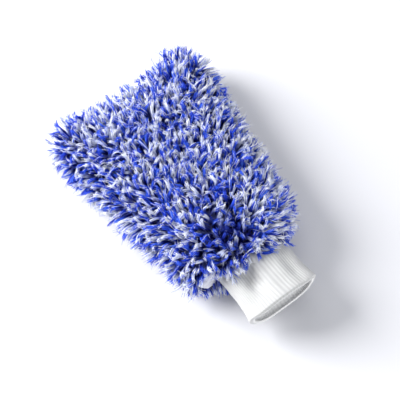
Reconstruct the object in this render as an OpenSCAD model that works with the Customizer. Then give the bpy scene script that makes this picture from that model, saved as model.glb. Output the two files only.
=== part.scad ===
// Plush wash mitt: two pile panels sewn into a bag, a lining bag inside it,
// and a rib-knit cuff folded double. It lies flat, cuff towards -Y and
// fingertips towards +Y, with the side seam level at half its height.

/* [Mitt] */
// Length from the cuff's mouth to the pile at the fingertips
total_len = 273; // [250:1:310]
// Width over the pile, just below the fingertip corners
tip_w = 184; // [170:2:206]
// Width over the pile at the shoulders, above the cuff
shoulder_w = 136; // [126:1:146]
// Height over the pile when the mitt lies flat
total_h = 64; // [58:1:74]
// How far the fingertip edge dips between its two corners
tip_dip = 9; // [0:1:14]
// Radius of the two fingertip corners, over the pile
corner_r = 36; // [26:1:42]

/* [Cloth] */
// How far the pile stands off its backing cloth
pile_t = 15; // [10:0.5:16]
// How much the pile underneath is pressed flat by the mitt's weight
squash = 3; // [1:0.5:5]
// Thickness of the backing cloth that the pile is tufted into
backing_t = 1.2; // [0.8:0.1:1.5]
// Thickness of the lining cloth
lining_t = 0.8; // [0.6:0.1:1.0]
// Seam allowance of the pile panels
backing_allow = 6; // [4:0.5:7]
// Seam allowance of the lining panels
lining_allow = 4; // [3:0.5:5]

/* [Cuff] */
// Length of cuff that shows below the pile
cuff_len = 54; // [44:1:60]
// Width of the cuff's mouth
cuff_w = 72; // [68:1:80]
// Height of the cuff's open mouth
cuff_h = 38; // [32:1:40]
// Thickness of one layer of rib knit
rib_t = 1.3; // [1:0.1:1.5]
// Space between the cuff's two layers
fold_gap = 0.8; // [0.6:0.1:1]
// Ribs around the cuff
rib_count = 72; // [40:2:80]

/* [Thread] */
// Thickness of the sewing thread
thread_d = 0.5; // [0.4:0.05:0.7]
// Distance from one stitch to the next
stitch_pitch = 6; // [5:0.5:9]
// Share of that distance that one stitch fills
stitch_fill = 0.75; // [0.5:0.05:0.85]

/* [Hidden] */

UP = 1;             // upper half
DOWN = -1;          // lower half
rows = 24;          // stations along the mitt
cols = 20;          // steps over each half section
neck_power = 2;     // the neck's section is an ellipse
body_power = 2.4;   // the body's is fuller, like a pillow
ease_len = 18;      // length over which the neck widens into the shoulders
tip_len = 58;       // length over which the height closes at the fingertips
lap = 8;            // how far the cuff reaches inside the neck
overhang = 4;       // how far the pile hangs over the cuff
neck_pile = 3;      // pile left where it ends at the neck
pile_ease = 15;     // length over which the pile grows to its full height
least_flange = 0.1; // width that a flange keeps inside the neck
least_round = 4;    // smallest radius of an inner layer's fingertip corners
clear = 0.3;        // space left between layers that don't touch

seam_z = total_h / 2;
neck_w = cuff_w / 2 + 1;                          // half width of the backing's neck
neck_h = cuff_h / 2 - 3;                          // half height of the backing's neck
base_h = total_h / 2 - pile_t;                    // half height over the backing
base_tip = total_len - pile_t;                    // where the backing's tip seam lies
neck_end = cuff_len + lap;
shoulder_y = neck_end + ease_len;
corner_y = total_len - corner_r;
cuff_t = 2 * rib_t + fold_gap;                    // whole thickness of the folded cuff
lining_in = backing_t + clear + backing_allow + lining_allow + clear;
rib_rise = 0.25;                                  // height of one rib
steps = 2 * rib_count;                            // points around the cuff

// ---- curves that every layer shares ----

// 0 before u = 0, 1 after u = 1, rising fast and then levelling out
function ease(u) = sin(90 * min(max(u, 0), 1));

// 1 until u = 0, then falling like a superellipse's quarter to 0 at u = 1
function close(u, p) = pow(1 - pow(min(max(u, 0), 1), p), 1 / p);

// half width over the backing, before the corners are rounded
function straight_w(y) = shoulder_w / 2 - pile_t
    + (tip_w - shoulder_w) / 2 * (y - shoulder_y) / (corner_y - shoulder_y);
function base_w(y) = neck_w
    + (straight_w(max(y, shoulder_y)) - neck_w) * ease((y - neck_end) / ease_len);

// half height over the backing, from the neck to the full body
function full_h(y) = neck_h + (base_h - neck_h) * ease((y - neck_end) / (2 * ease_len));

// exponent of the section's superellipse at y
function power(y) = neck_power + (body_power - neck_power) * ease((y - neck_end) / ease_len);

// A layer is [first y, last y, offset at the neck, offset in plan, offset in height].
// Offsets are from the backing's outer face; outwards is positive.
PILE = [cuff_len - overhang, total_len, neck_pile, pile_t, pile_t];
BASE = [cuff_len, base_tip, 0, 0, 0];
BACK = [cuff_len, base_tip - backing_t, -backing_t, -backing_t, -backing_t];
LINE = [
    cuff_len, base_tip - lining_in, -backing_t - cuff_t - 2 * clear, -lining_in, -backing_t - clear
];
HAND = [
    cuff_len, base_tip - lining_in - lining_t, LINE[2] - lining_t,
    LINE[3] - lining_t, LINE[4] - lining_t
];

// share of a layer's body offset that is reached at y
function reach(l, y) = l[3] > 0
    ? close(1 - min((y - l[0]) / pile_ease, 1), 2)
    : ease((y - neck_end) / ease_len);
function off_w(l, y) = l[2] + (l[3] - l[2]) * reach(l, y);
function off_h(l, y) = l[2] + (l[4] - l[2]) * reach(l, y);

// a layer's half width and half height at y
function round_r(l) = max(corner_r - (total_len - l[1]), least_round);
function layer_w(l, y) = base_w(y) + off_w(l, y)
    - round_r(l) * (1 - close((y - l[1] + round_r(l)) / round_r(l), 2));
function layer_h(l, y) =
    (full_h(y) + off_h(l, y)) * close((y - l[1] + tip_len) / tip_len, body_power);

// a point moved back where the fingertip edge dips between the corners
function dip(l, x, y) =
    let(across = min(abs(x) / (layer_w(l, l[1]) + 0.01), 1), along = max(y / l[1] - 0.5, 0) * 2)
    y - tip_dip * (1 - across * across) * along * along;

function station(l, i) = l[0] + (l[1] - l[0]) * (1 - cos(180 * i / rows)) / 2;

// Point of a layer at station i and step j of the half section, side UP or DOWN.
// Nothing goes below the floor, which flattens the pile underneath.
function point(l, i, j, side) =
    let(
        y = station(l, i),
        a = 180 * j / cols,
        x = layer_w(l, y) * sign(cos(a)) * pow(abs(cos(a)), 2 / power(y)),
        press = side == DOWN && l[3] > 0 ? squash * ease((y - l[0]) / ease_len) : 0,
        h = layer_h(l, y) * (1 + press / total_h * 2)
    )
    [x, dip(l, x, y), max(seam_z + side * h * pow(sin(a), 2 / power(y)), 0)];

// the open path round the edge of a half layer: up one side, over the tip, down the other
edge_path = concat(
    [for (i = [0:rows - 1]) [i, 0]],
    [for (j = [0:cols]) [rows, j]],
    [for (i = [rows - 1:-1:0]) [i, cols]]
);

// the same path at a level above the seam, drawn in or out by a flange's width
function flange_point(l, s, width, level, side) =
    let(
        y0 = station(l, s[0]),
        room = ease((y0 - neck_end) / ease_len),
        grow = sign(width) * max(abs(width) * room, least_flange),
        m = [l[0], l[1] + width, l[2] + grow, l[3] + grow, l[4]],
        p = point(m, s[0], s[1], side)
    )
    [p[0], p[1], seam_z + side * level];

// ---- closed solids between layers ----

function grid(l, side, level) = [
    for (i = [0:rows]) for (j = [0:cols])
        let(p = point(l, i, j, side))
        [p[0], p[1], side == UP ? max(p[2], seam_z + level) : min(p[2], seam_z - level)]
];
function at(s) = s[0] * (cols + 1) + s[1];

// faces between two point rows, a and b, listed in the same order
function strip(a, b) = [
    for (k = [0:len(a) - 2]) each [[a[k], b[k], b[k + 1]], [a[k], b[k + 1], a[k + 1]]]
];
function flip(faces) = [for (f = faces) [f[2], f[1], f[0]]];
function grid_faces(base) = [
    for (i = [0:rows - 1]) each strip(
        [for (j = [0:cols]) base + i * (cols + 1) + j],
        [for (j = [0:cols]) base + (i + 1) * (cols + 1) + j]
    )
];

// A half shell from layer `outer` to layer `inner`. A flange as thick as the cloth
// stands along its edge: inwards with width < 0, outwards with width > 0.
module half_shell(outer, inner, side, width = 0, level = 0) {
    n = (rows + 1) * (cols + 1);
    path = [for (s = edge_path) at(s)];
    m = len(path);
    host = width > 0 ? outer : inner;
    rims = width == 0 ? [] : [
        for (z = [level, 0]) each [for (s = edge_path) flange_point(host, s, width, z, side)]
    ];
    points = concat(
        grid(outer, side, width > 0 ? level : 0),
        grid(inner, side, width < 0 ? level : 0),
        rims
    );
    edge_out = path;
    edge_in = [for (k = path) k + n];
    rim_top = [for (k = [0:m - 1]) 2 * n + k];
    rim_low = [for (k = [0:m - 1]) 2 * n + m + k];
    closing = width == 0
        ? strip(edge_in, edge_out)
        : width < 0
        ? concat(strip(edge_in, rim_top), strip(rim_top, rim_low), strip(rim_low, edge_out))
        : concat(strip(edge_in, rim_low), strip(rim_low, rim_top), strip(rim_top, edge_out));
    neck_out = [for (j = [0:cols]) j];
    neck_in = [for (j = [0:cols]) j + n];
    ends = width == 0 ? [] : width < 0
        ? [[n, 2 * n, 0], [2 * n, 2 * n + m, 0],
           [n + cols, cols, 2 * n + m - 1], [2 * n + m - 1, cols, 2 * n + 2 * m - 1]]
        : [[0, n, 2 * n], [2 * n, n, 2 * n + m],
           [cols, 2 * n + m - 1, n + cols], [2 * n + m - 1, 2 * n + 2 * m - 1, n + cols]];
    faces = concat(
        closing, flip(strip(neck_in, neck_out)), flip(ends),
        flip(grid_faces(0)), grid_faces(n)
    );
    polyhedron(points, side == UP ? faces : flip(faces), convexity = 8);
}

module in_place() {
    translate([0, -total_len / 2, 0]) children();
}

// ---- pile and cloth panels ----

module top_pile() {
    color([0.33, 0.40, 0.72]) in_place() half_shell(PILE, BASE, UP);
}

module bottom_pile() {
    color([0.28, 0.34, 0.66]) in_place() half_shell(PILE, BASE, DOWN);
}

module top_backing() {
    color([0.93, 0.93, 0.95]) in_place() half_shell(BASE, BACK, UP, -backing_allow, backing_t);
}

module bottom_backing() {
    color([0.90, 0.90, 0.93]) in_place() half_shell(BASE, BACK, DOWN, -backing_allow, backing_t);
}

module top_lining() {
    color([0.86, 0.87, 0.90]) in_place() half_shell(LINE, HAND, UP, lining_allow, lining_t);
}

module bottom_lining() {
    color([0.83, 0.84, 0.88]) in_place() half_shell(LINE, HAND, DOWN, lining_allow, lining_t);
}

// ---- cuff ----

seam_a = 257;       // angle of the cuff's closing seam, on its lower wall
seam_bump = 0.7;    // how far that seam stands inwards
fade_len = 9;       // length over which the seam fades at each end of the cuff
waist = 1.2;        // how far the cuff is drawn in at its middle

function seam_rise(a) = seam_bump * exp(-pow((a - seam_a) / 4, 2));

// half width and half height of the cuff's outer face, from its mouth to its back end
function cuff_half(y) =
    let(u = min(y / cuff_len, 1), pull = waist * sin(180 * u))
    [
        cuff_w / 2 + (neck_w - backing_t - clear - cuff_w / 2) * u - pull,
        cuff_h / 2 + (neck_h - backing_t - clear - cuff_h / 2) * u - pull / 2
    ];

// point of the cuff at depth d below its outer face
function cuff_point(y, d, a) =
    let(h = cuff_half(max(y, 0)) - [d, d])
    [h[0] * cos(a), y, seam_z + h[1] * sin(a)];

function on_rib(k) = k % 2 == 0 ? rib_rise : 0;

cuff_ys = [cuff_t / 2, cuff_len / 4, cuff_len / 2, cuff_len * 3 / 4, neck_end];
inner_ys = [for (k = [len(cuff_ys) - 1:-1:0]) cuff_ys[k]];

// section through the cuff's folded wall as [y, depth, sign of the rib]
cuff_wall = concat(
    [for (y = inner_ys) [y, rib_rise, -1]],
    [for (t = [45, 90, 135]) [cuff_t / 2 * (1 - sin(t)), cuff_t / 2 * (1 - cos(t)), 0]],
    [for (y = cuff_ys) [y, cuff_t - rib_rise, 1]],
    [for (y = inner_ys) [y, cuff_t - rib_t, 0]],
    [[cuff_t / 2 - fold_gap / 2, cuff_t / 2, 0]],
    [for (y = cuff_ys) [y, rib_t, 0]]
);

module cuff() {
    rings = len(cuff_wall);
    points = [
        for (w = cuff_wall) for (k = [0:steps - 1])
            let(
                a = 360 * k / steps,
                fade = min(w[0] / fade_len, (neck_end - w[0]) / fade_len, 1),
                inside = w[1] > cuff_t / 2 + rib_rise ? seam_rise(a) * fade : 0
            )
            cuff_point(w[0], w[1] + w[2] * on_rib(k) + inside, a)
    ];
    faces = [
        for (r = [0:rings - 1]) for (k = [0:steps - 1])
            let(
                r2 = (r + 1) % rings, k2 = (k + 1) % steps,
                a = r * steps + k, b = r * steps + k2,
                c = r2 * steps + k2, d = r2 * steps + k
            )
            each [[a, d, c], [a, c, b]]
    ];
    color([0.95, 0.95, 0.96]) in_place() polyhedron(points, faces, convexity = 8);
}

// ---- sewing threads ----

// one stitch from a to b, flat on a level face
module stitch(a, b) {
    run = b - a;
    translate((a + b) / 2)
        rotate([0, 0, atan2(run[1], run[0])])
            rotate([0, 90, 0])
                cylinder(h = norm(run) * stitch_fill, d = thread_d, center = true, $fn = 4);
}

// running lengths along a path, and the point at length s along it
function run_lengths(p) = [
    for (i = 0, s = 0; i < len(p); s = s + norm(p[min(i + 1, len(p) - 1)] - p[i]), i = i + 1) s
];
function point_along(p, runs, s) =
    let(k = min(len([for (r = runs) if (r <= s) 1]), len(p) - 1) - 1)
    p[k] + (p[k + 1] - p[k]) * (s - runs[k]) / (runs[k + 1] - runs[k]);

// stitches along the edge of a layer, on the flange above its seam
module edge_stitches(l, width, level) {
    path = [for (s = edge_path) if (s[0] > 0) flange_point(l, s, width, level, UP)];
    runs = run_lengths(path);
    whole = runs[len(runs) - 1];
    margin = ease_len;
    count = round((whole - 2 * margin) / stitch_pitch);
    pitch = (whole - 2 * margin) / count;
    for (k = [0:count - 1])
        stitch(
            point_along(path, runs, margin + pitch * k),
            point_along(path, runs, margin + pitch * (k + 1))
        );
}

module body_seam_thread() {
    color([0.80, 0.82, 0.92]) in_place()
        edge_stitches(BACK, -backing_allow / 3, backing_t + thread_d / 2);
}

module lining_seam_thread() {
    color([0.80, 0.81, 0.85]) in_place()
        edge_stitches(LINE, lining_allow / 2, lining_t + thread_d / 2);
}

// stitches along the cuff's closing seam, between its two layers
module cuff_seam_thread() {
    count = floor((cuff_len - 2 * fade_len) / stitch_pitch);
    depth = rib_t + (fold_gap + seam_bump) / 2;
    color([0.88, 0.88, 0.90]) in_place()
        for (k = [0:count - 1]) {
            y = fade_len + stitch_pitch * k;
            stitch(cuff_point(y, depth, seam_a), cuff_point(y + stitch_pitch, depth, seam_a));
        }
}

// ring of stitches that joins cuff, backing and lining, on the lining's inner face
module cuff_join_thread() {
    stitches = 36;
    depth = -HAND[2] + clear + thread_d / 2;
    color([0.85, 0.86, 0.90]) in_place()
        for (k = [0:stitches - 1]) {
            t = 360 * (k + 0.5) / stitches;
            half = [neck_w - depth, neck_h - depth];
            p = [half[0] * cos(t), cuff_len + lap / 2, seam_z + half[1] * sin(t)];
            slope = atan2(half[1] * cos(t), -half[0] * sin(t));
            length = norm([half[0] * sin(t), half[1] * cos(t)]) * 2 * PI / stitches;
            translate(p)
                rotate([0, -slope, 0])
                    rotate([0, 90, 0])
                        cylinder(h = length * stitch_fill, d = thread_d, center = true, $fn = 4);
        }
}

top_pile();
bottom_pile();
top_backing();
bottom_backing();
top_lining();
bottom_lining();
cuff();
body_seam_thread();
lining_seam_thread();
cuff_seam_thread();
cuff_join_thread();
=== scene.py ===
"""A plush wash mitt: blue and white pile on a sewn bag, with a folded rib-knit cuff."""

import math

import bmesh
import bpy
import numpy as np
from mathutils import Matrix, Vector, noise


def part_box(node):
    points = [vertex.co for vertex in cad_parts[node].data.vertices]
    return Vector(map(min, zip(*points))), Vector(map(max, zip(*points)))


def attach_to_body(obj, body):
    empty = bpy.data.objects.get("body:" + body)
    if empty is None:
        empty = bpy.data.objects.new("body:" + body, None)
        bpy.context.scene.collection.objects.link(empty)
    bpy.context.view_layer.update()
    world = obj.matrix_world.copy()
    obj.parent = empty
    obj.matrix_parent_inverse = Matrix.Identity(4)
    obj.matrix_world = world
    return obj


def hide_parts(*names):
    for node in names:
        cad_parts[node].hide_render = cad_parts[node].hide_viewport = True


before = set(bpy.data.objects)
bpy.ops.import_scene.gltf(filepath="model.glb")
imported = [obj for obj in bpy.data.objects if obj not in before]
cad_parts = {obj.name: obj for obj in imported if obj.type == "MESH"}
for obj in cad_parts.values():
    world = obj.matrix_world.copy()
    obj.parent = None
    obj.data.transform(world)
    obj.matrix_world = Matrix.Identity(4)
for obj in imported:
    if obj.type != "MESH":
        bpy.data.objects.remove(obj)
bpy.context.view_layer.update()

MM = 0.001
BODY = "root"
SEED = 314
rng = np.random.default_rng(SEED)
noise.seed_set(SEED)    # without this, noise_vector takes its offsets from the clock

cuff_lo, cuff_hi = (np.array(c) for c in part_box("cuff"))
back_lo, back_hi = (np.array(c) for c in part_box("top_backing"))
MOUTH_Y = cuff_lo[1]
CUFF_END_Y = cuff_hi[1]
SEAM_Z = back_lo[2]
NECK_Y = back_lo[1]
TIP_Y = back_hi[1]


# ---- small helpers ----


def unit(v):
    return v / np.maximum(np.linalg.norm(v, axis=-1, keepdims=True), 1e-9)


def smooth_step(x, a, b):
    t = np.clip((x - a) / (b - a), 0, 1)
    return t * t * (3 - 2 * t)


def fade(distance, reach):
    """1 at a place, falling smoothly to nearly 0 at two reaches from it."""
    return np.exp(-((distance / reach) ** 2))


def make_object(name, verts, faces, uvs=None, material=None):
    """A smooth-shaded object from arrays. faces is a list of (n, 3) or (n, 4) index arrays,
    and uvs gives one pair per vertex."""
    verts = np.asarray(verts, dtype=np.float32)
    faces = [np.asarray(f, dtype=np.int32) for f in faces if len(f)]
    corners = np.concatenate([f.ravel() for f in faces])
    sizes = np.concatenate([np.full(len(f), f.shape[1], dtype=np.int32) for f in faces])
    starts = np.concatenate([[0], np.cumsum(sizes)[:-1]]).astype(np.int32)
    mesh = bpy.data.meshes.new(name)
    mesh.vertices.add(len(verts))
    mesh.vertices.foreach_set("co", verts.ravel())
    mesh.loops.add(len(corners))
    mesh.loops.foreach_set("vertex_index", corners)
    mesh.polygons.add(len(starts))
    mesh.polygons.foreach_set("loop_start", starts)
    mesh.polygons.foreach_set("use_smooth", np.full(len(starts), True))
    if uvs is not None:
        layer = mesh.uv_layers.new(name="OFBake")
        layer.data.foreach_set("uv", np.asarray(uvs, dtype=np.float32)[corners].ravel())
    mesh.update()
    if material:
        mesh.materials.append(material)
    obj = bpy.data.objects.new(name, mesh)
    bpy.context.scene.collection.objects.link(obj)
    return obj


def attach(obj, slot, *nodes):
    """Makes a piece ride on the mitt and hides the CAD nodes that it stands for. slot is not used."""
    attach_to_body(obj, BODY)
    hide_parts(*nodes)
    return obj


def node_triangles(node):
    """Points (n, 3) of a CAD node with doubles merged, and its triangles (m, 3)."""
    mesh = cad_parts[node].data
    mesh.calc_loop_triangles()
    co = np.empty(len(mesh.vertices) * 3)
    mesh.vertices.foreach_get("co", co)
    tri = np.empty(len(mesh.loop_triangles) * 3, dtype=np.int64)
    mesh.loop_triangles.foreach_get("vertices", tri)
    micron = np.round(co.reshape(-1, 3) * 1e6).astype(np.int64)
    keys, index = np.unique(micron, axis=0, return_inverse=True)
    return keys / 1e6, index.ravel()[tri].reshape(-1, 3)


def tubes(path, radius, sides):
    """Closed tubes along centre lines. path is (m, rings, 3) and radius (m, rings).
    Returns points, quads, and the end caps as fans of triangles."""
    m, rings = radius.shape
    tangent = unit(np.gradient(path, axis=1))
    ref = unit(rng.normal(size=(m, 1, 3)))
    side = unit(np.cross(tangent, ref))
    other = np.cross(tangent, side)
    angle = np.arange(sides) * 2 * math.pi / sides
    ring = (
        path[:, :, None]
        + side[:, :, None] * (radius[:, :, None] * np.cos(angle))[..., None]
        + other[:, :, None] * (radius[:, :, None] * np.sin(angle))[..., None]
    )
    base = (np.arange(m) * rings * sides)[:, None, None]
    i = (np.arange(rings - 1) * sides)[None, :, None]
    s = np.arange(sides)[None, None, :]
    s2 = (s + 1) % sides
    quads = np.stack([base + i + s, base + i + s2, base + i + sides + s2, base + i + sides + s], -1)
    first = base[:, 0, :]
    last = first + (rings - 1) * sides
    k = np.arange(1, sides - 1)
    start_caps = np.stack(np.broadcast_arrays(first, first + k + 1, first + k), -1)
    end_caps = np.stack(np.broadcast_arrays(last, last + k, last + k + 1), -1)
    caps = np.concatenate([start_caps.reshape(-1, 3), end_caps.reshape(-1, 3)])
    return ring.reshape(-1, 3), quads.reshape(-1, 4), caps


# ---- materials ----

WHITE = (1, 1, 1, 1)
PAINTED_ROOT_SHADE_ENDS = 0.37                          # share of a strand that has its root's painted shade
PAINTED_SHADE_CLEARS = [(0.62, (0.92, 0.95, 1.0, 1)), (0.8, WHITE)]      # and how the rest clears from that painted shade to its tint
RIM_SHADE = (3 * MM, 12 * MM)             # behind the neck's rim, where the painted shade under the pile sets in and is full
FOLD_BAND = (0.645, 0.69)                 # uv y where the cuff's outer wall turns into its inner one, whose brighter colour is painted light
# noise scales, in waves to the metre
CLOTH_PATCHES, CLOTH_FIBRES = 60, 2500
RIB_PATCHES, RIB_FIBRES = 45, 2200
THREAD_PLIES, THREAD_FIBRES = 1800, 4000


def srgb(r, g, b):
    def linear(c):
        c /= 255
        return c / 12.92 if c <= 0.04045 else ((c + 0.055) / 1.055) ** 2.4

    return (linear(r), linear(g), linear(b), 1)


class Material:
    """A node material on one Principled shader, with short calls for the nodes used here."""

    def __init__(self, name, color, roughness, sheen=0.0):
        self.mat = bpy.data.materials.new(name)
        self.mat.use_nodes = True
        self.nodes = self.mat.node_tree.nodes
        self.links = self.mat.node_tree.links
        self.shader = self.nodes["Principled BSDF"]
        self.shader.inputs["Base Color"].default_value = color
        self.shader.inputs["Roughness"].default_value = roughness
        self.shader.inputs["Specular IOR Level"].default_value = 0.25
        self.shader.inputs["Sheen Weight"].default_value = sheen
        self.shader.inputs["Sheen Roughness"].default_value = 0.5

    def node(self, kind, inputs=None, **settings):
        made = self.nodes.new("ShaderNode" + kind)
        for name, value in settings.items():
            setattr(made, name, value)
        for name, value in (inputs or {}).items():
            if isinstance(value, bpy.types.NodeSocket):
                self.links.new(value, made.inputs[name])
            else:
                made.inputs[name].default_value = value
        return made

    def ramp(self, source, stops, mode="LINEAR"):
        made = self.node("ValToRGB", {0: source})
        made.color_ramp.interpolation = mode
        elements = made.color_ramp.elements
        while len(elements) < len(stops):
            elements.new(0.5)
        for element, (place, color) in zip(elements, stops):
            element.position = place
            element.color = color
        return made.outputs[0]

    def multiply(self, a, b):
        mix = self.node("Mix", {0: 1.0, 6: a, 7: b}, data_type="RGBA", blend_type="MULTIPLY")
        return mix.outputs[2]

    def math(self, operation, a, b=0.0):
        return self.node("Math", {0: a, 1: b}, operation=operation).outputs[0]

    def color(self, socket):
        self.links.new(socket, self.shader.inputs["Base Color"])

    def bump(self, height, strength, distance, onto=None):
        inputs = {"Height": height, "Strength": strength, "Distance": distance}
        if onto is not None:
            inputs["Normal"] = onto
        made = self.node("Bump", inputs)
        self.links.new(made.outputs[0], self.shader.inputs["Normal"])
        return made.outputs[0]

    def uv(self):
        split = self.node("SeparateXYZ", {0: self.node("UVMap", uv_map="OFBake").outputs[0]})
        return split.outputs[0], split.outputs[1]

    def place(self):
        return self.node("TexCoord").outputs["Object"]

    def noise(self, scale, detail=3.0):
        made = self.node("TexNoise", {"Vector": self.place(), "Scale": scale, "Detail": detail})
        return made.outputs[0]


def yarn_material(name, tints, painted_root_shade, roughness, sheen):
    """Yarn whose tint is picked by uv x, and which has painted shade at its root, at uv y = 0, clearing
    towards its tip.
    """
    m = Material(name, tints[0], roughness, sheen)
    across, along = m.uv()
    tint = m.ramp(across, [(k / len(tints), c) for k, c in enumerate(tints)], "CONSTANT")
    # painted shade: darkest at the root and clearing towards the tip
    shade = m.ramp(along, [(0.0, painted_root_shade), (PAINTED_ROOT_SHADE_ENDS, painted_root_shade)] + PAINTED_SHADE_CLEARS)
    m.color(m.multiply(tint, shade))
    return m.mat


def cloth_material(name, color, pile_shade, loop_size):
    """Plain knitted cloth: small loops with worn, uneven colour and painted shade in the gaps between them,
    and painted shade under the pile behind the neck's rim.
    """
    m = Material(name, color, 0.85, sheen=0.2)
    loops = m.node("TexVoronoi", {"Vector": m.place(), "Scale": 1 / loop_size}, feature="F1").outputs[0]
    patches = m.ramp(m.noise(CLOTH_PATCHES), [(0.3, (0.88, 0.88, 0.92, 1)), (0.7, WHITE)])
    # painted shade: darker in the gaps between the loops
    painted_gap_shade = m.ramp(loops, [(0.0, WHITE), (0.8, (0.82, 0.82, 0.86, 1))])
    y = m.node("SeparateXYZ", {0: m.place()}).outputs[1]
    behind = m.node("MapRange", {0: y, 1: NECK_Y + RIM_SHADE[0], 2: NECK_Y + RIM_SHADE[1]}).outputs[0]
    # painted shade under the pile, behind the neck's rim
    painted_pile_shade = m.ramp(behind, [(0.0, WHITE), (1.0, pile_shade)])
    m.color(m.multiply(m.multiply(m.multiply(patches, painted_gap_shade), painted_pile_shade), color))
    fibre = m.bump(m.noise(CLOTH_FIBRES), 0.25, 0.2 * MM)
    m.bump(loops, 0.6, -0.3 * MM, onto=fibre)
    return m.mat


def rib_material(name, outer_color, inner_painted_light):
    """White rib knit: bright rib tops, greyer grooves that are painted shade, a fuzz of fibres, and a
    brighter inside that is painted light for light coming through the thin knit.
    """
    m = Material(name, outer_color, 0.9, sheen=0.15)
    around, along = m.uv()
    wave = m.math("COSINE", m.math("MULTIPLY", around, 2 * math.pi * RIBS))
    groove = m.math("ADD", m.math("MULTIPLY", wave, 0.5), 0.5)
    # painted shade: darker in the grooves than on the rib tops
    painted_groove_shade = m.ramp(groove, [(0.0, WHITE), (0.55, (0.97, 0.97, 0.97, 1)), (1.0, (0.88, 0.88, 0.885, 1))])
    patches = m.ramp(m.noise(RIB_PATCHES), [(0.3, (0.95, 0.95, 0.95, 1)), (0.7, WHITE)])
    # painted light: the inside is brighter than the outer wall, for light that comes through the thin knit
    side = m.ramp(along, [(FOLD_BAND[0], outer_color), (FOLD_BAND[1], inner_painted_light)])
    m.color(m.multiply(m.multiply(painted_groove_shade, patches), side))
    m.bump(m.noise(RIB_FIBRES, 5.0), 0.35, 0.25 * MM)
    m.shader.inputs["Subsurface Weight"].default_value = 0.6
    m.shader.inputs["Subsurface Radius"].default_value = (1, 1, 1)
    m.shader.inputs["Subsurface Scale"].default_value = 3 * MM
    return m.mat


def thread_material(name, color):
    """Twisted thread with darker and lighter plies."""
    m = Material(name, color, 0.5, sheen=0.2)
    strands = m.ramp(m.noise(THREAD_PLIES), [(0.35, (0.8, 0.8, 0.85, 1)), (0.65, WHITE)])
    m.color(m.multiply(strands, color))
    m.bump(m.noise(THREAD_FIBRES), 0.3, 0.1 * MM)
    return m.mat


# ---- pile ----

SCATTERED = 70000       # places tried for locks on each backing panel
TUFT_GAP = 3.10 * MM    # distance between neighbouring locks
CROWDED = 0.72          # share of that gap that they keep round the parting and near the neck
CROWD_PARTING = (8 * MM, 20 * MM)     # distances over which the gap grows to its full size
CROWD_NECK = (24 * MM, 40 * MM)
STRANDS = 9             # thick strands in a lock
FILAMENTS = 3           # fine loose ends in a lock
MIXED = 0.09            # share of a lock's strands that have the other colour
MIXED_ENDS = 0.36       # the same for its fine loose ends
RINGS = 7               # points along a strand
SIDES = 3               # and round it
SPINE = 14              # points along a lock's centre line
OVERRUN = 1.3           # the centre line runs this much further than the lock's thick strands
LOCK_R = 1.18 * MM      # radius of a lock
STRAND_R = 0.42 * MM
FILAMENT_R = 0.22 * MM
PILE_LEN = 20.0 * MM
ROOT_DEPTH = 0.8 * MM   # how deep a strand starts in the backing
OFF_CUFF = 2.0 * MM     # how far strands keep off the cuff's plain outline
TINTS = 16              # places for a strand across the yarn's tints
TINT_SPREAD = 5         # a strand's place differs by up to this from its lock's
WHITE_SHARE = 0.54      # share of locks that are white,
WHITE_LOST = 0.44       # how much less it is in the parting,
WHITE_LOST_R = 16 * MM  # and how far that reaches
MAX_FACES = 190000      # triangles that one piece may have
PARTING = np.array([-6 * MM, NECK_Y + 20 * MM, 0])
PARTING_R = 17 * MM     # how far the parting's dark middle reaches: its painted shade and its purer colours
PARTING_SHADE = 0.58    # how much painted shade the strands there get: how much of their lighter ends they lose
PARTING_PURE = 0.85     # how much less their colours mix
SHORT_LENGTH = 0.55     # how much shorter the pile is beside the bare patch
COMB_REACH = 75 * MM    # how far the parting's stronger lean reaches
HANG_FROM, HANG_OVER = 28 * MM, 26 * MM     # where, behind the rim, the pile starts to hang over the cuff
HANG_LEAN = np.array([-0.12, -0.65, -0.45])
SIDE_DROOP = 0.28       # how much the pile at the sides leans down
TIP_DROOP = 0.22        # how much a lock's own weight bends its tip
LOCK_NOISE, LOCK_CURL = 0.20, 0.75     # how unevenly the locks lean and curl
BARE_PATCH = np.array([-39 * MM, NECK_Y + 6 * MM, SEAM_Z + 4 * MM])   # the backing shows here
BARE_R = 12.5 * MM
BARE_RIM = np.array([-31 * MM, NECK_Y + 2 * MM, SEAM_Z + 10 * MM])    # and the neck's rim beside it
BARE_RIM_R = 8.5 * MM
SLUMP_AT = np.array([-42 * MM, NECK_Y + 5 * MM])        # where the neck's corner sags beside the cuff
SLUMP_R = 17 * MM
SLUMP = np.array([-9 * MM, -12 * MM, -5 * MM])
NECK_HALF_W = 37 * MM   # half the width and height of the ring where the backing is sewn to the cuff
NECK_HALF_H = 13 * MM
CORNER_AT = np.array([74 * MM, TIP_Y - 6 * MM])         # a tip corner, pulled outwards
CORNER_R = 26 * MM
CORNER_PULL = np.array([3 * MM, 5.5 * MM, 0])


def slumped(p):
    """Points of the bag moved: its neck's corner sags beside the cuff, and a tip corner is pulled out."""
    sag = fade(np.linalg.norm(p[..., :2] - SLUMP_AT, axis=-1, keepdims=True), SLUMP_R)
    pull = fade(np.linalg.norm(p[..., :2] - CORNER_AT, axis=-1, keepdims=True), CORNER_R)
    from_neck = np.hypot(p[..., 0:1] / NECK_HALF_W, (p[..., 2:3] - SEAM_Z) / NECK_HALF_H)
    free = smooth_step(from_neck, 1.0, 1.14)      # the neck's ring stays sewn to the cuff
    return p + sag * free * SLUMP + pull * CORNER_PULL


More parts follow.
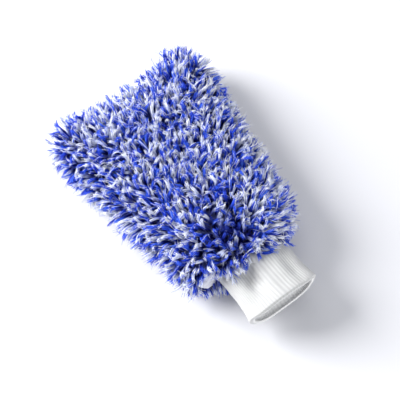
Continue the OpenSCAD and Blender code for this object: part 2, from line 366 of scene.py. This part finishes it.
def outer_skin(node):
    """Corners (m, 3, 3), smooth corner normals and areas of a backing panel's outward faces."""
    co, tri = node_triangles(node)
    a, b, c = (co[tri[:, k]] for k in range(3))
    cross = np.cross(b - a, c - a)
    area = np.linalg.norm(cross, axis=1) / 2
    normal = unit(cross)
    mid = (a + b + c) / 3
    middle_y = np.clip(mid[:, 1], NECK_Y + 40 * MM, TIP_Y - 40 * MM)
    out = mid - np.column_stack([np.zeros(len(mid)), middle_y, np.full(len(mid), SEAM_Z)])
    flange = (np.abs(normal[:, 2]) > 0.98) & (np.abs(mid[:, 2] - SEAM_Z) < 1.6 * MM)
    outward = np.einsum("ij,ij->i", normal, unit(out)) > 0.08
    keep = outward & ~flange & (area > 1e-10)
    tri, cross = tri[keep], cross[keep]
    smooth = np.zeros_like(co)
    for k in range(3):
        np.add.at(smooth, tri[:, k], cross)
    smooth = unit(smooth)
    on_seam = np.abs(co[:, 2] - SEAM_Z) < 0.05 * MM
    smooth[on_seam, 2] = 0
    return co[tri], unit(smooth)[tri], area[keep]


def scatter(corners, normals, area, count):
    """Random points on triangles, with their normals."""
    pick = rng.choice(len(area), size=count, p=area / area.sum())
    r = np.sqrt(rng.random(count))
    s = rng.random(count)
    w = np.column_stack([1 - r, r * (1 - s), r * s])[:, :, None]
    return (corners[pick] * w).sum(1), unit((normals[pick] * w).sum(1))


def spaced(points, gap):
    """Indices of points that keep at least gap from each other, first come first kept."""
    cells = {}
    kept = []
    around = [(i, j, k) for i in (-1, 0, 1) for j in (-1, 0, 1) for k in (-1, 0, 1)]
    for i, (p, cell) in enumerate(zip(points, np.floor(points / gap.max()).astype(int))):
        near = [j for d in around for j in cells.get((cell[0] + d[0], cell[1] + d[1], cell[2] + d[2]), ())]
        if near and (((points[near] - p) ** 2).sum(1) < gap[i] ** 2).any():
            continue
        cells.setdefault(tuple(cell), []).append(i)
        kept.append(i)
    return np.array(kept)


def swirls(p, count, size):
    """A smooth random field of leans, as hands and washing leave in the pile."""
    lean = np.zeros_like(p)
    for _ in range(count):
        wave = unit(rng.normal(size=3)) * 2 * math.pi / rng.uniform(22 * MM, 55 * MM)
        phase = rng.uniform(0, 2 * math.pi)
        lean += unit(rng.normal(size=3)) * (np.sin(p @ wave + phase) * size)[:, None]
    return lean


def from_parting(p):
    """Distance of points from the parting behind the cuff, and the level direction away from it."""
    away = p - PARTING
    away[:, 2] = 0
    far = np.linalg.norm(away, axis=1)
    return far, unit(away)


def comb(p, n):
    """Which way the pile lies: away from the parting, over the cuff in front, and down at the sides."""
    far, out = from_parting(p)
    hang = smooth_step(NECK_Y + HANG_FROM - p[:, 1], 0, HANG_OVER)
    strength = 0.24 + 0.40 * fade(far, COMB_REACH)
    strength = strength * smooth_step(far, 0, 30 * MM) * (1 - 0.6 * hang)
    lean = out * strength[:, None] + swirls(p, 6, 0.10)
    lean += hang[:, None] * HANG_LEAN
    lean[:, 2] -= SIDE_DROOP * (1 - np.abs(n[:, 2]))
    return lean


def lock_spines(p, n):
    """Centre lines of the locks, (locks, SPINE, 3)."""
    count = len(p)
    far, _ = from_parting(p)
    messy = 1 + fade(far, 30 * MM)
    lean = comb(p, n) + rng.normal(0, LOCK_NOISE, (count, 3)) * messy[:, None]
    curl = rng.normal(0, LOCK_CURL, (count, 3)) * messy[:, None]
    length = PILE_LEN * rng.normal(1.0, 0.08, count)
    length *= 0.80 + 0.20 * smooth_step(p[:, 1] - NECK_Y, 0, 15 * MM)
    length *= 1 - 0.25 * fade(far, 16 * MM)
    length *= 1 - SHORT_LENGTH * fade(np.linalg.norm(p - slumped(BARE_PATCH), axis=1), 17 * MM)
    step = length * OVERRUN / (SPINE - 1)
    path = np.empty((count, SPINE, 3))
    path[:, 0] = p - n * ROOT_DEPTH
    for k in range(1, SPINE):
        t = (k - 0.5) / (SPINE - 1) * OVERRUN
        d = n * (1 - 0.30 * t) + lean * (0.5 + 0.8 * t) + curl * t * t
        d[:, 2] -= TIP_DROOP * t * t
        path[:, k] = path[:, k - 1] + unit(d) * step[:, None]
    return path


def strand_paths(spine, lock, share, spread, splay):
    """Strands wound round their lock's centre line, (strands, RINGS, 3)."""
    m = len(lock)
    t = np.linspace(0, 1, RINGS)[None]
    place = t * share[:, None] / OVERRUN * (SPINE - 1)
    low = np.minimum(place.astype(int), SPINE - 2)
    w = (place - low)[..., None]
    path = spine[lock[:, None], low] * (1 - w) + spine[lock[:, None], low + 1] * w
    tangent = unit(np.gradient(path, axis=1))
    ref = unit(rng.normal(size=(len(spine), 3)))[lock][:, None]
    side = unit(np.cross(tangent, ref))
    other = np.cross(tangent, side)
    turn = rng.normal(0, 1.6, len(spine))[lock][:, None]
    angle = rng.uniform(0, 2 * math.pi, (m, 1)) + turn * t
    reach = np.sqrt(rng.random((m, 1))) * LOCK_R * (spread + splay * t * t)
    path = path + side * (np.cos(angle) * reach)[..., None] + other * (np.sin(angle) * reach)[..., None]
    wave = unit(rng.normal(size=(m, 1, 3)))
    path += wave * (np.sin(rng.uniform(0, 2 * math.pi, (m, 1)) + 8 * t) * t * 0.35 * MM)[..., None]
    return path


def over_cuff(path):
    """Keeps strands out of the cuff: what would go through its wall lies on it."""
    x, y, up = path[..., 0], path[..., 1], path[..., 2] - SEAM_Z
    wide, high = cuff_profile(y)
    reach = np.hypot(x / (wide + OFF_CUFF), up / (high + OFF_CUFF))
    push = (1 / np.clip(reach, 0.3, 1) - 1) * smooth_step(NECK_Y - y, -1 * MM, 3 * MM)
    return np.stack([x * (1 + push), y, SEAM_Z + up * (1 + push)], -1)


def settle(path, salt):
    """Keeps strands off the floor: what would go below it lies along it."""
    floor = ((0.5 + 1.6 * salt) * MM)[:, None]
    soft = 2.5 * MM
    over = path[:, :, 2] - floor
    path[:, :, 2] = floor + np.where(over > soft, over, soft * np.exp(np.minimum(over / soft - 1, 0)))
    return path


def plant(panel, backing, yarns):
    """Plants a panel's pile and makes its pieces, one or more for each yarn."""
    points, normals = scatter(*outer_skin(backing), SCATTERED)
    bare = np.linalg.norm(points - BARE_PATCH, axis=1) < BARE_R
    bare |= np.linalg.norm(points - BARE_RIM, axis=1) < BARE_RIM_R
    points, normals = points[~bare], normals[~bare]
    far, _ = from_parting(points)
    off_neck = smooth_step(points[:, 1] - NECK_Y, *CROWD_NECK)
    roomy = np.minimum(smooth_step(far, *CROWD_PARTING), off_neck)
    keep = spaced(points, TUFT_GAP * (CROWDED + (1 - CROWDED) * roomy))
    p, n = slumped(points[keep]), normals[keep]
    spine = lock_spines(p, n)
    far, _ = from_parting(p)
    white = rng.random(len(p)) < WHITE_SHARE - WHITE_LOST * fade(far, WHITE_LOST_R)
    thick = np.repeat(np.arange(len(p)), STRANDS)
    fine = np.repeat(np.arange(len(p)), FILAMENTS)
    thick_path = strand_paths(spine, thick, rng.uniform(0.84, 1.0, len(thick)), 1.0, 0.35)
    fine_path = strand_paths(spine, fine, rng.uniform(0.9, 1.2, len(fine)), 1.2, 1.4)
    lock = np.concatenate([thick, fine])
    path = np.concatenate([thick_path, fine_path])
    path = settle(over_cuff(path), rng.random(len(path)))
    t = np.linspace(0, 1, RINGS)
    taper = 0.85 + 0.30 * np.sin(math.pi * np.minimum(t * 1.1, 1)) - 0.30 * t**4
    radius = np.concatenate([np.full(len(thick), STRAND_R), np.full(len(fine), FILAMENT_R)])
    radius = (radius * rng.uniform(0.75, 1.2, len(path)))[:, None] * taper
    tint = rng.integers(0, TINTS, len(p))[lock] + rng.integers(-TINT_SPREAD, TINT_SPREAD + 1, len(lock))
    tint %= TINTS
    faces_each = (RINGS - 1) * 2 * SIDES + 2 * (SIDES - 2)
    print(panel, "locks", len(p), "strands", len(path), "triangles", len(path) * faces_each)
    in_parting = fade(far[lock], PARTING_R)
    mixed = np.repeat([MIXED, MIXED_ENDS], [len(thick), len(fine)]) * (1 - PARTING_PURE * in_parting)
    swapped = rng.random(len(lock)) < mixed
    # painted shade in the parting: its strands show more of their painted root shade
    shaded = 1 - PARTING_SHADE * in_parting
    for kind, (label, material) in enumerate(yarns):
        ids = np.nonzero((white[lock] ^ swapped) == kind)[0]
        ids = ids[np.argsort(path[ids, 0, 1], kind="stable")]
        parts = math.ceil(len(ids) * faces_each / MAX_FACES)
        for k, part in enumerate(np.array_split(ids, parts)):
            verts, quads, caps = tubes(path[part], radius[part], SIDES)
            u = (tint[part][:, None, None] + np.linspace(0.15, 0.85, SIDES)) / TINTS
            u = np.broadcast_to(u, (len(part), RINGS, SIDES))
            v = 0.02 + 0.96 * t[None, :] * shaded[part][:, None]
            v = np.broadcast_to(v[:, :, None], (len(part), RINGS, SIDES))
            uvs = np.stack([u, v], -1).reshape(-1, 2)
            obj = make_object(f"{panel}_{label}_yarn_{k + 1}", verts, [quads, caps], uvs, material)
            attach(obj, "pile", panel)


# ---- cuff ----

RIBS = 72
RIB_STEPS = 5           # points across a rib
RIB_RISE = 0.35 * MM
STITCH = 1.5 * MM       # length of a knit stitch
STITCH_RISE = 0.10 * MM
KNIT_T = 1.3 * MM       # thickness of one layer
FOLD_R = 1.7 * MM       # radius of the folded edge at the mouth
OUTER_ROWS = 150
INNER_ROWS = 44
HIDDEN_ROWS = 16
CLOSING_SEAM = math.radians(257)
BLUNT = 0.86            # below 1, the tube's section has blunter ends than an ellipse
TURN_ROWS = 11          # rows of points round the folded edge
MOUTH_REACH = 9 * MM    # how far from the mouth the next two are felt
PLUMP = 1.3 * MM        # how much fatter the folded edge is than the wall
END_PULL_LEFT, END_PULL_RIGHT = 3.5, 2.0     # how far the mouth's ends are drawn back, in mm
RIPPLE = 0.35 * MM      # unevenness of the tube's wall, and its size along the tube
RIPPLE_SIZE = 14 * MM
SEAM_RISE = 0.9 * MM    # the closing seam's ridge on the inside, and its half width round the tube
SEAM_HALF = math.radians(3.2)
# soft dents in the upper wall: depth, x, distance from the mouth, and half sizes in x and y, in mm
DENTS = [
    (-3.0, -9, 0, 18, 13),        # the lip arches up
    (8.2, -14, 30, 7.5, 14),      # the deep dent on the left
    (1.6, 21, 24, 4.5, 20),       # a groove on the right
    (-1.3, 12, 26, 6, 22),        # the ridge between them
]


def cuff_profile(y):
    """Half width and half height of the CAD cuff's outer face at y."""
    co, _ = node_triangles("cuff")
    near_mouth = co[:, 1] > MOUTH_Y + 1 * MM
    stations = np.unique(np.round(co[near_mouth, 1], 5))
    wide = [np.abs(co[np.abs(co[:, 1] - s) < 0.05 * MM, 0]).max() for s in stations]
    high = [np.abs(co[np.abs(co[:, 1] - s) < 0.05 * MM, 2] - SEAM_Z).max() for s in stations]
    return np.interp(y, stations, wide), np.interp(y, stations, high)


def cuff_dents(x, y, up):
    """How far the cuff's soft upper wall sags inwards at a place."""
    sag = 0
    for depth, at_x, at_y, half_x, half_y in DENTS:
        across = (x - at_x * MM) / (half_x * MM)
        along = (y - MOUTH_Y - at_y * MM) / (half_y * MM)
        sag = sag + depth * MM * np.exp(-(across**2) - along**2)
    return sag * smooth_step(up, 0.0, 0.6)


def cuff_piece(material):
    """The rib-knit tube, folded double at the mouth, as one closed surface."""
    around = RIBS * RIB_STEPS
    k = np.arange(around)
    angle = 2 * math.pi * k / around
    rib_wave = (1 - np.cos(2 * math.pi * k / RIB_STEPS)) / 2
    chevron = np.abs((k / RIB_STEPS) % 1 - 0.5)
    fold_y = MOUTH_Y + FOLD_R
    outer = np.linspace(CUFF_END_Y, fold_y, OUTER_ROWS)
    inner = np.linspace(fold_y, CUFF_END_Y, INNER_ROWS)
    half_turn = np.linspace(0, math.pi, TURN_ROWS + 2)[1:-1]
    between = np.linspace(CUFF_END_Y - 1 * MM, fold_y, HIDDEN_ROWS)
    # the wall's section as rows of (y, depth below the outer face, rib height)
    section = [(y, 0, 1) for y in outer]
    section += [(fold_y - FOLD_R * math.sin(a), FOLD_R * (1 - math.cos(a)), math.cos(a)) for a in half_turn]
    section += [(y, 2 * FOLD_R, -1) for y in inner]
    section += [(y, 2 * FOLD_R - KNIT_T, 0) for y in between]
    section += [(y, KNIT_T, 0) for y in between[::-1]]
    section = np.array(section)
    y, depth, rib = section[:, 0:1], section[:, 1:2], section[:, 2:3]
    wide, high = cuff_profile(y)
    plump = PLUMP * fade(y - fold_y, MOUTH_REACH)
    stitch = np.cos(2 * math.pi * (y / STITCH + chevron)) * STITCH_RISE * rib_wave
    ring = [(3 * math.cos(a), 3 * math.sin(a)) for a in angle[::RIB_STEPS]]
    ripple = [[noise.noise(Vector((*place, row[0] / RIPPLE_SIZE))) for place in ring] for row in section]
    ripple = np.repeat(np.array(ripple), RIB_STEPS, axis=1) * RIPPLE
    ends = np.abs(np.cos(angle)) ** 5 * np.where(np.cos(angle) < 0, END_PULL_LEFT, END_PULL_RIGHT) * MM
    y = y + ends * fade(y - MOUTH_Y, MOUTH_REACH)
    seam = fade(angle - CLOSING_SEAM, SEAM_HALF) * SEAM_RISE * (depth > FOLD_R)
    rise = rib * (rib_wave * RIB_RISE + stitch) - RIB_RISE / 2 + plump - depth - seam
    cos, sin = np.cos(angle), np.sin(angle)
    x = (wide + rise + ripple) * np.sign(cos) * np.abs(cos) ** BLUNT
    z = (high + rise + ripple) * np.sign(sin) * np.abs(sin) ** BLUNT
    z = z - cuff_dents(x, y, np.sin(angle))
    verts = np.stack([x, y, z + SEAM_Z], -1).reshape(-1, 3)
    rows = len(section)
    i = np.arange(rows)[:, None] * around
    i2 = (np.arange(rows)[:, None] + 1) % rows * around
    k2 = (k + 1) % around
    quads = np.stack(np.broadcast_arrays(i + k, i + k2, i2 + k2, i2 + k), -1).reshape(-1, 4)
    u = np.broadcast_to(k / around, x.shape)
    v = np.broadcast_to(np.linspace(0.01, 0.99, rows)[:, None], x.shape)
    obj = make_object("rib_knit_cuff", verts, [quads], np.stack([u, v], -1).reshape(-1, 2), material)
    return attach(obj, "rib_knit", "cuff")


# ---- backing and lining cloth ----

WRINKLE = 0.9 * MM      # how far wrinkles move the cloth, and how long they are
WRINKLE_SIZE = 18 * MM
PUCKER = 0.5 * MM       # how far stitches pucker it at the seams, and how long the puckers are
PUCKER_SIZE = 5 * MM


def cloth_copy(node, name, material, slot):
    """A panel of cloth: the CAD panel's shell with quads, subdivided, wrinkled and puckered."""
    bm = bmesh.new()
    bm.from_mesh(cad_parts[node].data)
    bmesh.ops.remove_doubles(bm, verts=bm.verts, dist=0.01 * MM)
    bmesh.ops.join_triangles(
        bm, faces=bm.faces, angle_face_threshold=math.radians(40), angle_shape_threshold=math.radians(60)
    )
    mesh = bpy.data.meshes.new(name)
    bm.to_mesh(mesh)
    bm.free()
    obj = bpy.data.objects.new(name, mesh)
    bpy.context.scene.collection.objects.link(obj)
    modifier = obj.modifiers.new("finer", "SUBSURF")
    modifier.levels = modifier.render_levels = 2
    bpy.context.view_layer.update()
    finer = bpy.data.meshes.new_from_object(obj.evaluated_get(bpy.context.evaluated_depsgraph_get()))
    obj.modifiers.clear()
    obj.data = finer
    bpy.data.meshes.remove(mesh)
    co = np.empty(len(finer.vertices) * 3)
    finer.vertices.foreach_get("co", co)
    co = co.reshape(-1, 3)
    if slot == "backing_cloth":
        co = slumped(co)
    wide = np.array([noise.noise_vector(Vector(p) / WRINKLE_SIZE) for p in co])
    tight = np.array([noise.noise_vector(Vector(p) / PUCKER_SIZE) for p in co])
    level = np.abs(co[:, 2:] - SEAM_Z)
    near_seam = fade(level, 4 * MM)
    free = smooth_step(level, 1.0 * MM, 6 * MM) * smooth_step(co[:, 1:2], NECK_Y, NECK_Y + 20 * MM)
    co += wide * WRINKLE * free + tight * PUCKER * near_seam * smooth_step(level, 0.2 * MM, 1.5 * MM)
    finer.vertices.foreach_set("co", co.ravel())
    finer.polygons.foreach_set("use_smooth", np.full(len(finer.polygons), True))
    finer.materials.clear()
    finer.materials.append(material)
    finer.update()
    return attach(obj, slot, node)


# ---- sewing thread ----

PLY_R = 0.17 * MM
PLIES = 2
STITCH_RINGS = 13
THREAD_TURNS = 2.5      # half turns of twist on each side of a stitch's middle


def stitch_rods(node):
    """Centre, axis and half length of each separate rod in a thread node."""
    co, tri = node_triangles(node)
    group = np.arange(len(co))
    changed = True
    while changed:
        lowest = group[tri].min(1)
        before = group.copy()
        for k in range(3):
            np.minimum.at(group, tri[:, k], lowest)
        changed = (group != before).any()
    rods = []
    for g in np.unique(group[tri]):
        points = co[group == g]
        centre = points.mean(0)
        axis = np.linalg.svd(points - centre)[2][0]
        rods.append((centre, axis, np.abs((points - centre) @ axis).max()))
    return [np.array(part) for part in zip(*rods)]


def thread_piece(node, name, material, lift):
    """Each rod as a stitch of two twisted plies that arches up and dips into the cloth at its ends."""
    centre, axis, half = stitch_rods(node)
    if node == "body_seam_thread":
        centre = slumped(centre)
    up = unit(lift(centre))
    side = np.cross(axis, up)
    t = np.linspace(-1, 1, STITCH_RINGS)[None]
    arch = (0.28 - 0.75 * t**6) * MM * np.ones((len(centre), 1))
    spine = (
        centre[:, None]
        + axis[:, None] * (half[:, None] * t)[..., None]
        + up[:, None] * arch[..., None]
    )
    plies = []
    for ply in range(PLIES):
        angle = t * THREAD_TURNS * math.pi + ply * 2 * math.pi / PLIES
        wind = side[:, None] * np.cos(angle)[..., None] + up[:, None] * np.sin(angle)[..., None]
        plies.append(spine + wind * PLY_R * 0.9)
    path = np.concatenate(plies)
    radius = np.full(path.shape[:2], PLY_R) * (1 - 0.4 * t**8)
    verts, quads, caps = tubes(path, radius, 6)
    obj = make_object(name, verts, [quads, caps], None, material)
    return attach(obj, "thread", node)


# ---- floor, light and camera ----


LIGHTS = [
    # name, place and the point it is aimed at, in metres, then its size and its power in watts
    ("key", (-0.94, 1.10, 0.92), (0, 0, 0.03), 1.15, 54),
    ("top", (0.35, 0.80, 1.25), (0, 0, 0.03), 1.3, 5),
    ("front", (0.10, -1.30, 0.42), (0, -0.12, 0.03), 0.6, 9.5),
]
FLOOR_HALF = 3.0
FLOOR_Z = -0.2 * MM
FLOOR_COLOR = (0.79, 0.79, 0.82, 1)
SKY_COLOR = (0.88, 0.92, 1.0, 1)
SKY_STRENGTH = 0.33


def soft_light(name, place, target, size, power):
    """A round area light."""
    data = bpy.data.lights.new(name, "AREA")
    data.shape = "DISK"
    data.size = size
    data.energy = power
    obj = bpy.data.objects.new(name, data)
    obj.location = place
    obj.rotation_euler = (Vector(target) - Vector(place)).to_track_quat("-Z", "Y").to_euler()
    bpy.context.scene.collection.objects.link(obj)


def studio():
    """The pale floor, the lights and the even light of the room."""
    corners = [(x * FLOOR_HALF, y * FLOOR_HALF, FLOOR_Z) for x, y in ((-1, -1), (1, -1), (1, 1), (-1, 1))]
    m = Material("pale_floor", FLOOR_COLOR, 0.9)
    make_object("floor", corners, [np.array([[0, 1, 2, 3]])], None, m.mat)
    for light in LIGHTS:
        soft_light(*light)
    world = bpy.data.worlds.new("studio")
    bpy.context.scene.world = world
    world.use_nodes = True
    background = world.node_tree.nodes["Background"]
    background.inputs[0].default_value = SKY_COLOR
    background.inputs[1].default_value = SKY_STRENGTH
    bpy.context.scene.view_settings.view_transform = "Standard"


AZIMUTH, ELEVATION, DISTANCE = -36.5, 65.0, 0.88
FRAME_PX = 400
LOOK_AT = (0, 0, 0.03)
PX_PER_M = 297 / 0.28     # the picture's scale at LOOK_AT
SHIFT_RIGHT, SHIFT_DOWN = 4.8 / PX_PER_M, 7.8 / PX_PER_M


def camera():
    """The camera, turned about LOOK_AT and moved sideways to frame the mitt."""
    data = bpy.data.cameras.new("camera")
    data.sensor_width = 36
    data.lens = PX_PER_M * DISTANCE / FRAME_PX * data.sensor_width
    cam = bpy.data.objects.new("camera", data)
    bpy.context.scene.collection.objects.link(cam)
    a, e = math.radians(AZIMUTH), math.radians(ELEVATION)
    back = Vector((math.sin(a) * math.cos(e), -math.cos(a) * math.cos(e), math.sin(e)))
    turn = (-back).to_track_quat("-Z", "Y")
    right, up = turn @ Vector((1, 0, 0)), turn @ Vector((0, 1, 0))
    target = Vector(LOOK_AT) + right * SHIFT_RIGHT - up * SHIFT_DOWN
    cam.rotation_mode = "QUATERNION"
    cam.location = target + back * DISTANCE
    cam.rotation_quaternion = turn
    bpy.context.scene.camera = cam


# ---- the mitt ----

blue_yarn = yarn_material(
    "blue_yarn",
    [srgb(48, 82, 224), srgb(74, 118, 244), srgb(34, 58, 196), srgb(60, 98, 236)],
    # painted shade at the strands' roots
    (0.04, 0.04, 0.20, 1),
    0.5,
    0.0,
)
white_yarn = yarn_material(
    "white_yarn",
    [srgb(250, 251, 255), srgb(240, 244, 255), srgb(254, 254, 255), srgb(222, 230, 255)],
    # painted shade at the strands' roots, blue as from light bounced off the blue strands
    (0.06, 0.10, 0.52, 1),
    0.6,
    0.4,
)
yarns = [("blue", blue_yarn), ("white", white_yarn)]
plant("top_pile", "top_backing", yarns)
plant("bottom_pile", "bottom_backing", yarns)

# the outer wall's colour, then the inside's brighter colour, which is painted light
cuff = cuff_piece(rib_material("rib_knit", (0.63, 0.63, 0.624, 1), (0.98, 0.98, 0.975, 1)))

# the backing's colour, then the painted shade under its pile
backing_cloth = cloth_material("backing_cloth", (0.88, 0.89, 0.92, 1), (0.22, 0.26, 0.60, 1), 1.1 * MM)
lining_cloth = cloth_material("lining_cloth", (0.62, 0.63, 0.67, 1), (1, 1, 1, 1), 0.7 * MM)
for half in ("top", "bottom"):
    back = cloth_copy(f"{half}_backing", f"{half}_backing_cloth", backing_cloth, "backing_cloth")
    lining = cloth_copy(f"{half}_lining", f"{half}_lining_cloth", lining_cloth, "lining_cloth")

thread = thread_material("sewing_thread", (0.78, 0.79, 0.86, 1))


def upwards(centre):
    """The way a flat seam's stitches arch."""
    return np.tile([0.0, 0.0, 1.0], (len(centre), 1))


def to_axis(centre):
    """The way the stitches round the cuff arch: towards its middle line."""
    return np.column_stack([-centre[:, 0], np.zeros(len(centre)), SEAM_Z - centre[:, 2]])


thread_piece("body_seam_thread", "body_seam_stitches", thread, upwards)
thread_piece("lining_seam_thread", "lining_seam_stitches", thread, upwards)
thread_piece("cuff_seam_thread", "cuff_seam_stitches", thread, to_axis)
thread_piece("cuff_join_thread", "cuff_join_stitches", thread, to_axis)

studio()
camera()
